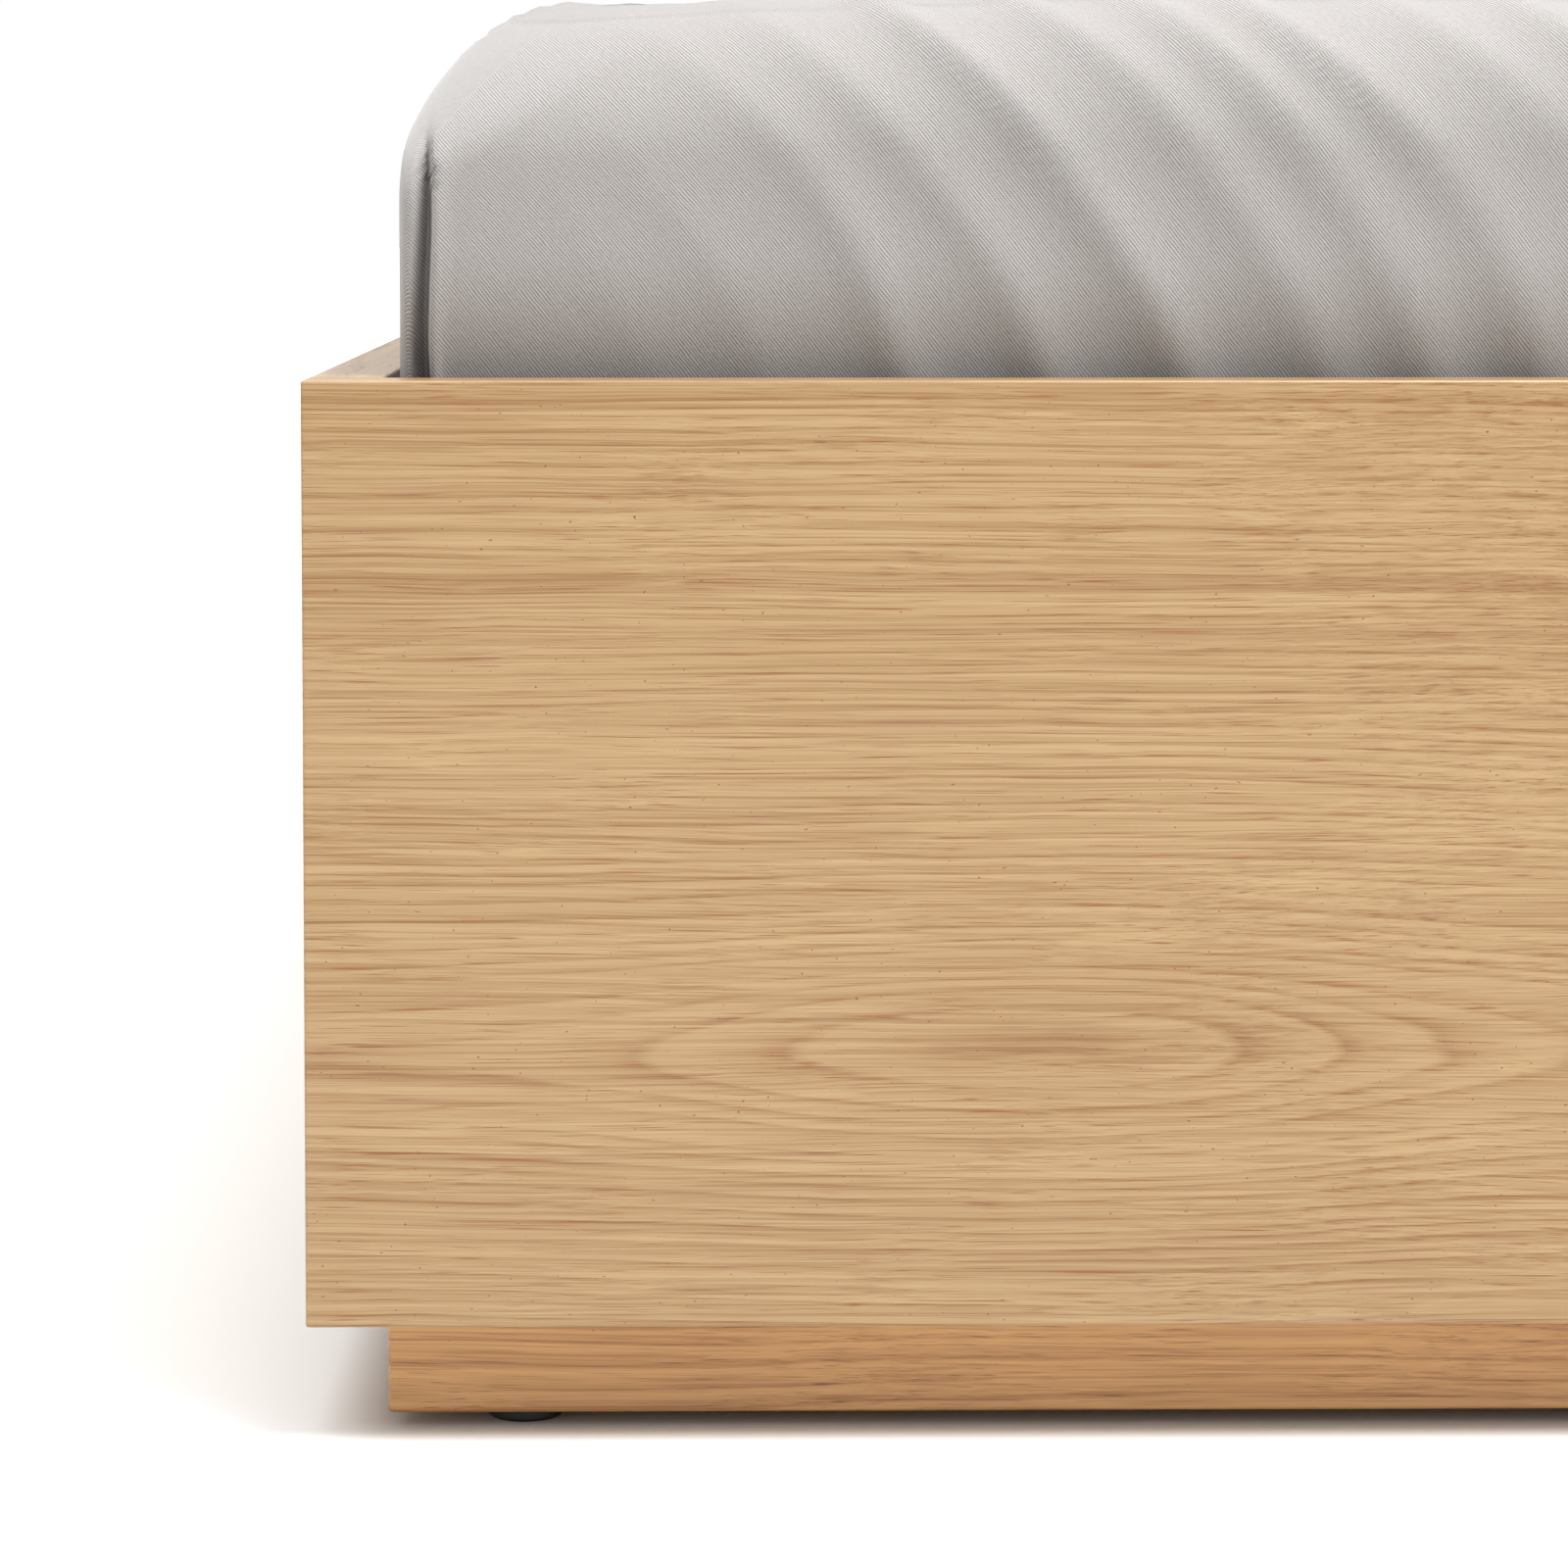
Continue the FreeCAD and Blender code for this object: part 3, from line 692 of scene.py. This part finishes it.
# %% Sizes of the pleats
PLEAT_TOP_Z = 0.455
PLEAT_LENGTH = 0.105  # from the pinch to the top of the boards
PLEAT_DEEPENS = 0.40  # of its length
PLEAT_REACH = 0.05  # along the side of the bed
PLEAT_DEPTH = 0.011
PLEAT_EDGE = 0.0090  # from the bed's side to the upright edge
PLEAT_BOW = 0.0022
BOW_HURRY = 1.1  # the bow is over a little above the boards
CREASE_WIDTH = 0.0014
CREASE_OPENS = 0.0010
CREASE_BESIDE = 1.15  # crease widths, from the upright edge
EDGE_BEYOND = 0.0020
EDGE_WIDTH = 0.0024
EDGE_OUT = 0.0026
LOBE_AT = 0.30  # this and the next are shares of the way to the upright edge
LOBE_WIDTH = 0.34
LOBE_OUT = 0.0020


# %% Pleats
def bell(value):
    """1 at zero, falling away to nothing on both sides."""
    return math.exp(-(value**2))


def pleat_push(across, along_side, height):
    """How far the pleat moves the cloth back and out. across is the distance in from the bed's side."""
    low = (PLEAT_TOP_Z - height) / PLEAT_LENGTH
    if low <= 0:
        return 0.0, 0.0
    opening = min(low, 1.0)
    edge_at = PLEAT_EDGE + PLEAT_BOW * math.sin(math.pi * min(opening * BOW_HURRY, 1.0))
    width = CREASE_WIDTH + CREASE_OPENS * opening
    begun = smooth(0.0, PLEAT_DEEPENS, low) * bell(along_side / PLEAT_REACH)
    off = (across - edge_at + CREASE_BESIDE * width) / width
    # The crease is steep beside the upright edge, and rounder beside the lobe
    crease = math.exp(-(off**4 if off > 0 else off**2))
    edge = bell((across - edge_at - EDGE_BEYOND) / EDGE_WIDTH)
    lobe = bell((across - LOBE_AT * edge_at) / (LOBE_WIDTH * edge_at))
    return begun * PLEAT_DEPTH * crease, begun * (EDGE_OUT * edge + LOBE_OUT * lobe)


# %% [markdown]
# ### Putting the cloth in place
#
# Each point of the grid has its place on the rounded box, moved out by the folds and the pleat. The
# elastic gathers the hem underneath. It also draws the ends in where the boards hide them, so that the
# cloth leans a little away from the boards. The corners droop, as a soft mattress's do.

# %% Corners, elastic and hem
CORNER_TIGHT = 0.014
CORNER_FULL = 0.066
CORNER_FILLS = (0.68, 0.97)  # this and DROOP_FROM are shares of the sheet's height
LEAST_CORNER = 1.02  # this and the next are shares of the inset
LEAST_CORNER_BELOW = 0.3
CORNER_DROOP = 0.0098
DROOP_FROM = (0.55, 0.9)
DROOP_REACH = 0.13
PULLED_IN = 0.0055
PULL_FADES = (0.330, 0.388)  # heights, from just under the top of the boards to just over it
GATHER = 0.0035
GATHER_TURN = 2.1  # radians from one column to the next, give or take the sway
GATHER_SWAY = 4
GATHER_SWAYS = 0.13


def fold_seed(number, x):
    """A seed that differs between corners, and between the two halves of an end."""
    return 3.7 * (1 + number // 2) + (1.9 if x > 0 else 0.0)


def corner_radius(row, inset, rise):
    """The radius of the corner in a row's outline. It grows with the inset, or the rows would cross."""
    radius = CORNER_TIGHT + (CORNER_FULL - CORNER_TIGHT) * smooth(*CORNER_FILLS, rise)
    least = LEAST_CORNER if row > TUCK_ROWS + BASE_ROWS else LEAST_CORNER_BELOW
    return max(radius, inset * least)


def hem_gather(column, row):
    """How far the elastic's gathers lift the cloth under the mattress. They fade away from the hem."""
    sway = noise.noise(Vector((column * GATHER_SWAYS, 0, 0))) * GATHER_SWAY
    wave = math.sin(column * GATHER_TURN + sway)
    return GATHER * (0.5 + 0.5 * wave) * (1 - row / TUCK_ROWS)


# %% A point of the sheet
def sheet_point(column, row):
    """A vertex's place on the bed, whether it is on an end, and how far up the cloth it is."""
    number, along = column_place(column)
    inset, height, reach = row_profile(row)
    rise = (height - BASE_Z) / SHEET_H
    on_top = inset if rise > 0.5 else 0.0
    point, facing = outline(number, along, inset, corner_radius(row, inset, rise))
    from_side = HALF_X - abs(point.x)
    from_end = HALF_Y - abs(point.y)
    on_end = abs(facing.y) > abs(facing.x)
    slope = min(on_top / TOP_ROUND, 1.0) * math.pi / 2
    out = (facing * math.cos(slope) + Vector((0, 0, math.sin(slope)))).normalized()
    depth = TOP_Z - height - max(0.0, on_top - TOP_ROUND)
    push = fold_height(from_side if on_end else from_end, depth, fold_seed(number, point.x))
    pleat_back, pleat_out = pleat_push(from_side, from_end, height)
    push += pleat_out - PULLED_IN * (1 - smooth(*PULL_FADES, height)) * abs(facing.y)
    if row <= TUCK_ROWS:
        height += hem_gather(column, row)
        push = 0.0
    point += out * push
    point.y -= math.copysign(pleat_back, point.y)
    near_corner = bell(math.hypot(from_side, from_end) / DROOP_REACH)
    point.z += height - CORNER_DROOP * near_corner * smooth(*DROOP_FROM, rise)
    return point, on_end, reach


# %% Its place on the flat cloth
def flat_place(point, on_end, reach):
    """Where a point was on the flat cloth: as far beyond the top's edge as it now is down from it."""
    hanging = max(0.0, TUCK + SHEET_H - reach)
    if not hanging:
        return point.x, point.y
    if on_end:
        return point.x, math.copysign(HALF_Y + hanging, point.y)
    return math.copysign(HALF_X + hanging, point.x), point.y


# %% [markdown]
# ### Making it
#
# The grid is laid flat with one operator, each vertex is put in its place, and the first and last columns
# are joined. The flat cut's own coordinates go into the UV map, in metres, so that the weave runs as it
# does in the real cloth: straight over the top edge and down each side.

# %% A new piece
def new_piece(name, bm):
    """A finished bmesh as an object at the origin, shaded smooth."""
    mesh = bpy.data.meshes.new(name)
    bm.to_mesh(mesh)
    bm.free()
    mesh.shade_smooth()
    piece = bpy.data.objects.new(name, mesh)
    bpy.context.scene.collection.objects.link(piece)
    print(name, "faces", len(mesh.polygons))
    return piece


# %% The sheet's mesh
MERGE_MM = 0.02
bm = bmesh.new()
cloth_map = bm.loops.layers.uv.new("cloth")
bmesh.ops.create_grid(bm, x_segments=COLUMNS, y_segments=ROWS, size=0.5)
flat_at = {}
for vertex in bm.verts:
    column = round((vertex.co.x + 0.5) * COLUMNS)
    row = round((vertex.co.y + 0.5) * ROWS)
    point, on_end, reach = sheet_point(column, row)
    vertex.co = point
    flat_at[vertex] = flat_place(point, on_end, reach)
for face in bm.faces:
    for loop in face.loops:
        loop[cloth_map].uv = flat_at[loop.vert]
bmesh.ops.remove_doubles(bm, verts=bm.verts, dist=MERGE_MM * MM)
bmesh.ops.recalc_face_normals(bm, faces=bm.faces)
sheet = new_piece("fitted_sheet_cloth", bm)

# %% [markdown]
# ### Cotton twill
#
# Twill's threads pass over two and under one, a step further on each row, which draws fine slanting ribs.
# The thread is grey melange, with small knots and thin places. Each rib's upper side is lit and its
# groove shaded, and both are painted into the colour: painted highlight on the ribs, painted shade in the
# grooves.
# Brushed cotton also has a soft bloom at a glancing angle. On top of the mattress the cloth is pressed
# flat, and its ribs and their painted shade hardly show. Far away they would also shimmer there.

# %% Sizes in the twill
RIB_MM = 1.2  # coarser than a fine twill's, which is too fine to show
RIB_SLANT = math.radians(52)
THREAD_MM = 0.55
THREAD_SHARE = 0.25
WOBBLE_MM = (9, 2.5, 1)
WOBBLE = 0.7  # of a rib
SLUB_MM = (1.6, 1.2, 1)
SLUB_SHARE = 0.45
RIB_RELIEF_MM = 0.12
MELANGE_AND_RIB_SHADE_RANGE = {"From Min": 0.10, "From Max": 1.12}
PRESSED_FLAT = {"From Min": 0.90, "From Max": 0.99, "To Min": 0.22}
# The light colour is also the painted highlight on the ribs, and the dark one the painted shade in the
# grooves
TWILL_LIGHT = "#A19E9C"
TWILL_DARK = "#56514E"


# %% Ribs
def twill_ribs(tree, cloth):
    """Twill's ribs and threads, 0 in the grooves and about 1 on the ribs: painted shade and highlight."""
    slanted = add(tree, "Mapping", {"Vector": cloth, "Rotation": (0, 0, RIB_SLANT)}).outputs[0]
    across = add(tree, "SeparateXYZ", {0: slanted}).outputs[1]
    up = add(tree, "SeparateXYZ", {0: cloth}).outputs[1]
    ribs_per_metre = 1 / (RIB_MM * math.sin(RIB_SLANT) * MM)
    ribs = add(tree, "Math", {0: across, 1: ribs_per_metre}, operation="MULTIPLY").outputs[0]
    wobble = stretched_noise(tree, slanted, WOBBLE_MM)
    ribs = add(tree, "Math", {0: wobble, 1: WOBBLE, 2: ribs}, operation="MULTIPLY_ADD").outputs[0]
    ribs = add(tree, "Math", {0: ribs, 1: 2 * math.pi}, operation="MULTIPLY").outputs[0]
    ribs = add(tree, "Math", {0: ribs}, operation="SINE").outputs[0]
    threads_turn = 2 * math.pi / (THREAD_MM * MM)
    threads = add(tree, "Math", {0: up, 1: threads_turn}, operation="MULTIPLY").outputs[0]
    threads = add(tree, "Math", {0: threads}, operation="SINE").outputs[0]
    height = {0: threads, 1: THREAD_SHARE, 2: ribs}
    height = add(tree, "Math", height, operation="MULTIPLY_ADD").outputs[0]
    full = 1 + THREAD_SHARE
    height = add(tree, "MapRange", {"Value": height, "From Min": -full, "From Max": full}).outputs[0]
    slub = stretched_noise(tree, cloth, SLUB_MM, 3.0, 0.7)
    # The ribs' height is added to the slubs, so the colour gets painted shade in the grooves and painted
    # highlight on the ribs
    melange_and_rib_shade = add(tree, "Math", {0: slub, 1: SLUB_SHARE, 2: height}, operation="MULTIPLY_ADD").outputs[0]
    return add(tree, "MapRange", {"Value": melange_and_rib_shade, **MELANGE_AND_RIB_SHADE_RANGE}).outputs[0]


# %% Where the cloth is pressed flat
def standing_ribs(tree, cloth):
    """How much the ribs and their painted shade show: little on top of the mattress, fully on its sides.
    """
    outward = (1 / HALF_X, 1 / HALF_Y, 0)
    share = add(tree, "VectorMath", {0: cloth, 1: outward}, operation="MULTIPLY").outputs[0]
    share = add(tree, "VectorMath", {0: share}, operation="ABSOLUTE").outputs[0]
    share = add(tree, "SeparateXYZ", {0: share})
    sides = {0: share.outputs[0], 1: share.outputs[1]}
    outer = add(tree, "Math", sides, operation="MAXIMUM").outputs[0]
    return add(tree, "MapRange", {"Value": outer, **PRESSED_FLAT}).outputs[0]


# %% Twill
def twill(name):
    """Cotton twill on a UV map in metres."""
    material, tree, shader = new_material(name)
    cloth = add(tree, "UVMap", uv_map="cloth").outputs[0]
    melange_and_rib_shade = twill_ribs(tree, cloth)
    standing = standing_ribs(tree, cloth)
    melange_and_rib_shade = add(tree, "Math", {0: melange_and_rib_shade, 1: 0.5}, operation="SUBTRACT").outputs[0]
    melange_and_rib_shade = add(tree, "Math", {0: melange_and_rib_shade, 1: standing}, operation="MULTIPLY").outputs[0]
    melange_and_rib_shade = add(tree, "Math", {0: melange_and_rib_shade, 1: 0.5}, operation="ADD").outputs[0]
    # Dark in the grooves and light on the ribs: painted shade and painted highlight, with the yarn's
    # melange
    colours = {"Factor": melange_and_rib_shade, 6: linear(TWILL_DARK), 7: linear(TWILL_LIGHT)}
    tree.links.new(add(tree, "Mix", colours, data_type="RGBA").outputs[2], shader.inputs["Base Color"])
    relief = {"Height": melange_and_rib_shade, "Strength": 0.35, "Distance": RIB_RELIEF_MM * MM}
    tree.links.new(add(tree, "Bump", relief).outputs[0], shader.inputs["Normal"])
    shader.inputs["Roughness"].default_value = 0.92
    shader.inputs["Sheen Weight"].default_value = 0.25
    shader.inputs["Sheen Roughness"].default_value = 0.5
    return material


# %% Finish the sheet
sheet.data.materials.append(twill("grey_cotton_twill"))
thickness = sheet.modifiers.new("cloth thickness", "SOLIDIFY")
thickness.thickness = CLOTH_MM * MM
thickness.offset = -1
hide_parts("fitted_sheet")
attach(sheet, "mattress")
print("sheet of twill, thickness, mm:", CLOTH_MM)

# %% [markdown]
# ## The mattress
#
# Only its underside is ever seen, through the opening that the sheet leaves. It is a plain sprung
# mattress in woven ticking, with rows of shallow tufts underneath. A cube with three bevels gives its
# form: the upright edges first, then the top rim, then the bottom one.

# %% Mattress body
mattress_low, mattress_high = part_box("mattress")
UNDER_SHEET = 0.009
BASE_GAP = 0.0015
UPRIGHT_MIN = 0.1  # an edge that rises by more than this is upright
CORNER_SEGMENTS = 8
TOP_SEGMENTS = 6
BASE_SEGMENTS = 3
body_half_x = mattress_high.x - UNDER_SHEET
body_half_y = mattress_high.y - UNDER_SHEET
body_top = mattress_high.z - UNDER_SHEET
body_base = mattress_low.z + BASE_GAP


# %% Round the mattress
def bevel(bm, edges, radius, segments):
    """Rounds edges to a radius."""
    bmesh.ops.bevel(
        bm,
        geom=edges,
        offset=radius,
        offset_type="OFFSET",
        segments=segments,
        profile=0.5,
        affect="EDGES",
        material=-1,
    )


bm = bmesh.new()
bmesh.ops.create_cube(bm, size=1.0)
bmesh.ops.scale(bm, vec=(2 * body_half_x, 2 * body_half_y, body_top - body_base), verts=bm.verts)
bmesh.ops.translate(bm, vec=(0, 0, (body_top + body_base) / 2), verts=bm.verts)
uprights = [e for e in bm.edges if abs(e.verts[0].co.z - e.verts[1].co.z) > UPRIGHT_MIN]
bevel(bm, uprights, CORNER_FULL, CORNER_SEGMENTS)
top_rim = [e for e in bm.edges if all(v.co.z > body_top - MM for v in e.verts)]
bevel(bm, top_rim, TOP_ROUND, TOP_SEGMENTS)
base_rim = [e for e in bm.edges if all(v.co.z < body_base + MM for v in e.verts)]
bevel(bm, base_rim, BASE_ROUND, BASE_SEGMENTS)
print("mattress body before its tufts, faces:", len(bm.faces))

# %% [markdown]
# The underside is one large face, so it is cut into small squares before the tufts can dent it. Bevels
# and cuts number what they make in an order that differs from run to run, so at the end everything is
# numbered again by its place.

# %% Cut the underside
TUFT_SPACING = 0.20
TUFT_DEPTH = 0.004
TUFT_SHARPNESS = 6
CUTS_PER_TUFT = 8
TUFTS_FADE = (0.03, 0.10)  # from the mattress's edge
LEVEL_MM = 0.1  # what lies this close to the base is the underside

for axis, half in ((0, body_half_x), (1, body_half_y)):
    cuts = int(2 * half / (TUFT_SPACING / CUTS_PER_TUFT))
    for cut in range(1, cuts):
        place = [0.0, 0.0, 0.0]
        place[axis] = -half + 2 * half * cut / cuts
        direction = [0.0, 0.0, 0.0]
        direction[axis] = 1.0
        faces = [f for f in bm.faces if f.calc_center_median().z < body_base + MM]
        edges = dict.fromkeys(e for f in faces for e in f.edges)
        corners = dict.fromkeys(v for f in faces for v in f.verts)
        bmesh.ops.bisect_plane(bm, geom=[*faces, *edges, *corners], plane_co=place, plane_no=direction)

# %% Number a mesh by place
def number_by_place(bm):
    """Puts the vertices in the order of their places, and the faces in the order of their vertices."""
    for elements, place in (
        (bm.verts, lambda vertex: vertex.co[:]),
        (bm.faces, lambda face: sorted(vertex.index for vertex in face.verts)),
    ):
        rank = {element: number for number, element in enumerate(sorted(elements, key=place))}
        elements.sort(key=rank.get)
        elements.index_update()


# %% Dent the underside
for vertex in bm.verts:
    if vertex.co.z < body_base + LEVEL_MM * MM:
        across, along = (math.cos(math.pi * v / TUFT_SPACING) for v in vertex.co.xy)
        from_edge = min(body_half_x - abs(vertex.co.x), body_half_y - abs(vertex.co.y))
        vertex.co.z += TUFT_DEPTH * (across * along) ** TUFT_SHARPNESS * smooth(*TUFTS_FADE, from_edge)
bmesh.ops.recalc_face_normals(bm, faces=bm.faces)
number_by_place(bm)
mattress = new_piece("mattress_body", bm)
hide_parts("mattress")
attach(mattress, "mattress")

# %% [markdown]
# Ticking is a dense striped cotton: here a broad off-white stripe and a narrow grey one, with no gloss.

# %% Ticking
STRIPE_MM = 24
STRIPE_PALE = 0.82  # of the spacing
TICKING_WEAVE_MM = 0.8  # coarser than the real weave, which wouldn't show
TICKING_RELIEF_MM = 0.1

ticking, tree, shader = new_material("woven_cotton_ticking")
place = add(tree, "TexCoord").outputs["Object"]
stripe = add(tree, "SeparateXYZ", {0: place}).outputs[0]
stripe = add(tree, "Math", {0: stripe, 1: 1 / (STRIPE_MM * MM)}, operation="MULTIPLY").outputs[0]
stripe = add(tree, "Math", {0: stripe}, operation="FRACT").outputs[0]
stripe = add(tree, "Math", {0: stripe, 1: STRIPE_PALE}, operation="GREATER_THAN").outputs[0]
colours = {"Factor": stripe, 6: linear("#E4E1DA"), 7: linear("#C9C7C2")}
tree.links.new(add(tree, "Mix", colours, data_type="RGBA").outputs[2], shader.inputs["Base Color"])
weave = {"Vector": place, "Scale": 1 / (TICKING_WEAVE_MM * MM), "Detail": 2.0}
weave = add(tree, "TexNoise", weave).outputs[0]
relief = {"Height": weave, "Strength": 0.3, "Distance": TICKING_RELIEF_MM * MM}
tree.links.new(add(tree, "Bump", relief).outputs[0], shader.inputs["Normal"])
shader.inputs["Roughness"].default_value = 0.9
mattress.data.materials.append(ticking)

# %% [markdown]
# ### The flat cut
#
# Flat, the sheet is a rectangle with a square missing at each corner, where the two flaps meet and share
# one square of cloth. It is as long and wide as the mattress's top, with its depth and the tuck added on
# each side.

# %% [markdown]
# ## Floor and light
#
# A pale floor stands in a white studio tent. Its matt paint was rolled on, which leaves a faint stipple
# and no reflections. The tent glows at the horizon, less above it, and brightly overhead, so that the
# floor and the tops of things are the lightest. One soft round lamp, high in front and to the right,
# gives the boards and the cloth their direction.

# %% Floor
FLOOR_HALF_M = 30.0
STIPPLE_MM = 2.0
STIPPLE_DEPTH_MM = 0.02
bm = bmesh.new()
bmesh.ops.create_grid(bm, x_segments=1, y_segments=1, size=FLOOR_HALF_M)
floor = new_piece("floor", bm)
painted, tree, shader = new_material("matt_white_paint")
place = add(tree, "TexCoord").outputs["Object"]
stipple = {"Vector": place, "Scale": 1 / (STIPPLE_MM * MM), "Detail": 1.0}
stipple = add(tree, "TexNoise", stipple).outputs[0]
relief = {"Height": stipple, "Strength": 0.05, "Distance": STIPPLE_DEPTH_MM * MM}
tree.links.new(add(tree, "Bump", relief).outputs[0], shader.inputs["Normal"])
shader.inputs["Base Color"].default_value = linear("#E9E8E6")
shader.inputs["Roughness"].default_value = 0.55
floor.data.materials.append(painted)

# %% Tent
HORIZON_LIGHT = 1.0
MIDDLE_LIGHT = 0.5
OVERHEAD_LIGHT = 3.2
MIDDLE_BAND = {"From Min": 0.15, "From Max": 0.4, "To Min": HORIZON_LIGHT, "To Max": MIDDLE_LIGHT}
OVERHEAD_BAND = {"From Min": 0.72, "From Max": 0.86, "To Max": OVERHEAD_LIGHT}

world = bpy.data.worlds.new("studio tent")
world.use_nodes = True
bpy.context.scene.world = world
tree = world.node_tree
up = add(tree, "SeparateXYZ", {0: add(tree, "TexCoord").outputs["Generated"]}).outputs[2]
overhead = add(tree, "MapRange", {"Value": up, **OVERHEAD_BAND}).outputs[0]
lower = add(tree, "MapRange", {"Value": up, **MIDDLE_BAND}).outputs[0]
glow = add(tree, "Math", {0: overhead, 1: lower}, operation="ADD").outputs[0]
tree.links.new(glow, tree.nodes["Background"].inputs["Strength"])
tree.nodes["Background"].inputs["Color"].default_value = (1, 1, 1, 1)

# %% Lamp
LAMP_AT = Vector((0.35, -1.9, 2.8))
LAMP_TOWARDS = Vector((-0.3, -0.8, 0.2))
LAMP_ACROSS_M = 1.1
LAMP_W = 92

lamp = bpy.data.objects.new("soft lamp", bpy.data.lights.new("soft lamp", "AREA"))
bpy.context.scene.collection.objects.link(lamp)
lamp.data.shape = "DISK"
lamp.data.size = LAMP_ACROSS_M
lamp.data.energy = LAMP_W
lamp.location = LAMP_AT
lamp.rotation_euler = (LAMP_TOWARDS - LAMP_AT).to_track_quat("-Z", "Y").to_euler()
# Colours reach the picture as they are, without a film's curve
bpy.context.scene.view_settings.view_transform = "Standard"
print("lamp", LAMP_W, "W, at", [round(v, 2) for v in LAMP_AT])
